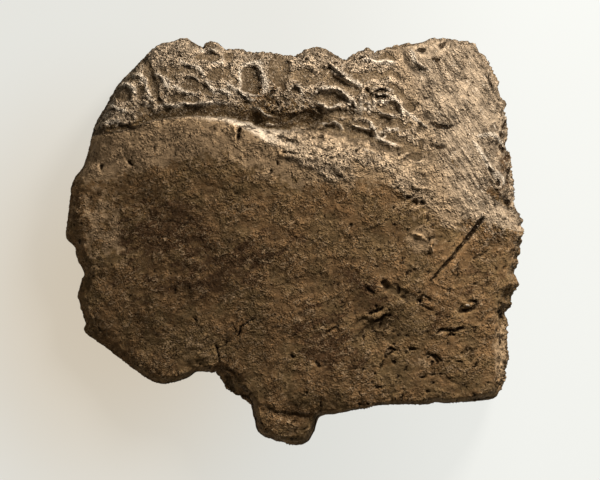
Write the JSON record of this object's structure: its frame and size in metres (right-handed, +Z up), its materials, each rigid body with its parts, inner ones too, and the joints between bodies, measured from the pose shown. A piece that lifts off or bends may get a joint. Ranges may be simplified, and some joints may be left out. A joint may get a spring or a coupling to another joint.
{
  "type": "jar sealing",
  "caption": "Broken lump of clay that sealed a jar, with a smoothed belly and a band of seal impressions along the top; lies on its back.",
  "frame": {"origin": "middle of the lump's width and length, on the plane that it rests on", "axes": "+X to the right across the sealed face, +Y up the face towards the band of impressions, +Z up out of the face"},
  "size_m": [0.1836, 0.1632, 0.041],
  "materials": {
    "clay": "matt, dusty, earthy"
  },
  "bodies": {
    "root": {"jar_sealing": "clay"}
  },
  "joints": []
}
